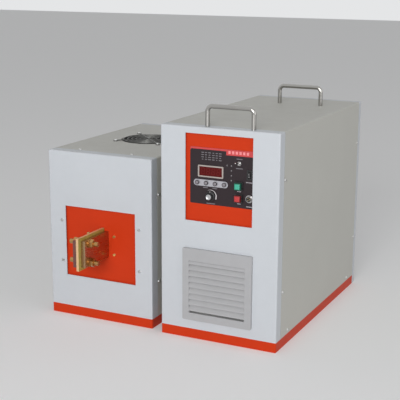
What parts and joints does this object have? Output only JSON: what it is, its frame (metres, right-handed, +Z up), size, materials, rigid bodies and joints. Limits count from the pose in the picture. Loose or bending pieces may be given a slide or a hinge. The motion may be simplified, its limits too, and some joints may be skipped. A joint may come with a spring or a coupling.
{
  "type": "induction heating machine",
  "caption": "Two-box induction heater: a power unit with control panel, handles and air grille, and a transformer unit with copper coil terminals and a top fan.",
  "frame": {"origin": "centre of the whole part's box in plan, on the floor", "axes": "+X to the right seen from the front, +Y from the front to the back, +Z up"},
  "size_m": [0.525, 0.625, 0.474],
  "materials": {
    "white_paint": "fine-grain powder coat, warm white",
    "grey_paint": "fine-grain powder coat, light grey",
    "orange_paint": "semi-gloss orange paint",
    "zinc_steel": "zinc-plated sheet",
    "screw_steel": "nickel-plated screws",
    "handle_chrome": "bright nickel-chrome plate",
    "overlay_black": "satin printed film, charcoal",
    "black_plastic": "moulded black plastic",
    "bezel_grey": "moulded warm-grey plastic",
    "display_red": "dark red display filter",
    "strip_silver": "brushed aluminium plate",
    "key_grey": "moulded grey plastic",
    "button_green": "green push button",
    "button_red": "red push button",
    "switch_metal": "nickel-plated brass",
    "led_lens": "diffused grey lens",
    "grille_grey": "moulded light-grey plastic",
    "filter_fibre": "needled fibre mat",
    "board_green": "solder-masked circuit board",
    "sink_aluminium": "extruded aluminium",
    "module_black": "moulded module case",
    "can_sleeve": "blue shrink sleeve",
    "choke_iron": "varnished laminations and winding",
    "brass": "bright brass",
    "copper": "polished copper",
    "epoxy_board": "yellow-green epoxy glass board",
    "panel_orange": "orange-painted insulating board",
    "ferrite": "sintered ferrite",
    "coil_tape": "varnished tape over the copper winding",
    "tank_can": "drawn aluminium case"
  },
  "bodies": {
    "power_unit": {"base_tray": "orange_paint", "chassis_frame": "zinc_steel", "front_panel": "white_paint", "cover": "grey_paint", "rear_panel": "white_paint", "cabinet_screws": "screw_steel", "handles": "handle_chrome", "handle_screws": "screw_steel", "control_plate": "orange_paint", "panel_overlay": "overlay_black", "display_bezel": "bezel_grey", "display_window": "display_red", "key_strip": "strip_silver", "potentiometer": "zinc_steel", "toggle_body": "switch_metal", "button_housings": "black_plastic", "rocker_housing": "black_plastic", "foot_switch_socket": "switch_metal", "indicator_leds": "led_lens", "vent_grille": "grille_grey", "filter_mat": "filter_fibre", "intake_fan_frame": "black_plastic", "control_board": "board_green", "heatsink": "sink_aluminium", "igbt_modules": "module_black", "bus_capacitors": "can_sleeve", "power_choke": "choke_iron", "cable_gland": "black_plastic", "water_nipples": "brass", "output_terminals": "brass"},
    "transformer_unit": {"transformer_base_tray": "orange_paint", "transformer_front_panel": "white_paint", "transformer_cover": "grey_paint", "transformer_rear_panel": "white_paint", "transformer_screws": "screw_steel", "insulating_panel": "panel_orange", "terminal_plate_left": "copper", "terminal_plate_right": "copper", "insulator_board": "epoxy_board", "clamp_bolts": "brass", "panel_screws": "brass", "top_fan_frame": "black_plastic", "finger_guard": "screw_steel", "ferrite_core": "ferrite", "primary_coil": "coil_tape", "secondary_turn": "copper", "tank_capacitors": "tank_can", "transformer_nipples": "brass", "transformer_inputs": "brass"},
    "knob": {"power_knob": "black_plastic"},
    "toggle": {"toggle_lever": "switch_metal"},
    "start": {"start_button": "button_green"},
    "stop": {"stop_button": "button_red"},
    "rocker_paddle": {"rocker": "black_plastic"},
    "key_a": {"key_1": "key_grey"},
    "key_b": {"key_2": "key_grey"},
    "key_c": {"key_3": "key_grey"},
    "key_d": {"key_4": "key_grey"},
    "intake_rotor": {"intake_fan_rotor": "black_plastic"},
    "top_rotor": {"top_fan_rotor": "black_plastic"}
  },
  "joints": [
    {"name": "transformer_unit_placing", "type": "slide", "parent": "power_unit", "child": "transformer_unit", "axis": [-1, 0, 0], "range_m": [0, 0.25]},
    {"name": "power_knob_turn", "type": "hinge", "parent": "power_unit", "child": "knob", "pos_m": [0.1175, -0.229, 0.296], "axis": [0, 1, 0], "range_deg": [-140, 140]},
    {"name": "toggle_flip", "type": "hinge", "parent": "power_unit", "child": "toggle", "pos_m": [0.177, -0.22365, 0.3653], "axis": [1, 0, 0], "range_deg": [0, 24]},
    {"name": "rocker_rock", "type": "hinge", "parent": "power_unit", "child": "rocker_paddle", "pos_m": [0.1985, -0.2225, 0.345], "axis": [1, 0, 0], "range_deg": [-18, 0]},
    {"name": "start_button_press", "type": "slide", "parent": "power_unit", "child": "start", "axis": [0, 1, 0], "range_m": [0, 0.003], "stiffness_N_per_m": 700},
    {"name": "stop_button_press", "type": "slide", "parent": "power_unit", "child": "stop", "axis": [0, 1, 0], "range_m": [0, 0.003], "stiffness_N_per_m": 700},
    {"name": "key_1_press", "type": "slide", "parent": "power_unit", "child": "key_a", "axis": [0, 1, 0], "range_m": [0, 0.0008], "stiffness_N_per_m": 900},
    {"name": "key_2_press", "type": "slide", "parent": "power_unit", "child": "key_b", "axis": [0, 1, 0], "range_m": [0, 0.0008], "stiffness_N_per_m": 900},
    {"name": "key_3_press", "type": "slide", "parent": "power_unit", "child": "key_c", "axis": [0, 1, 0], "range_m": [0, 0.0008], "stiffness_N_per_m": 900},
    {"name": "key_4_press", "type": "slide", "parent": "power_unit", "child": "key_d", "axis": [0, 1, 0], "range_m": [0, 0.0008], "stiffness_N_per_m": 900},
    {"name": "intake_fan_spin", "type": "hinge", "parent": "power_unit", "child": "intake_rotor", "pos_m": [0.1355, -0.1965, 0.11426], "axis": [0, 1, 0], "continuous": true},
    {"name": "top_fan_spin", "type": "hinge", "parent": "transformer_unit", "child": "top_rotor", "pos_m": [-0.1355, -0.0155, 0.334], "axis": [0, 0, 1], "continuous": true}
  ]
}
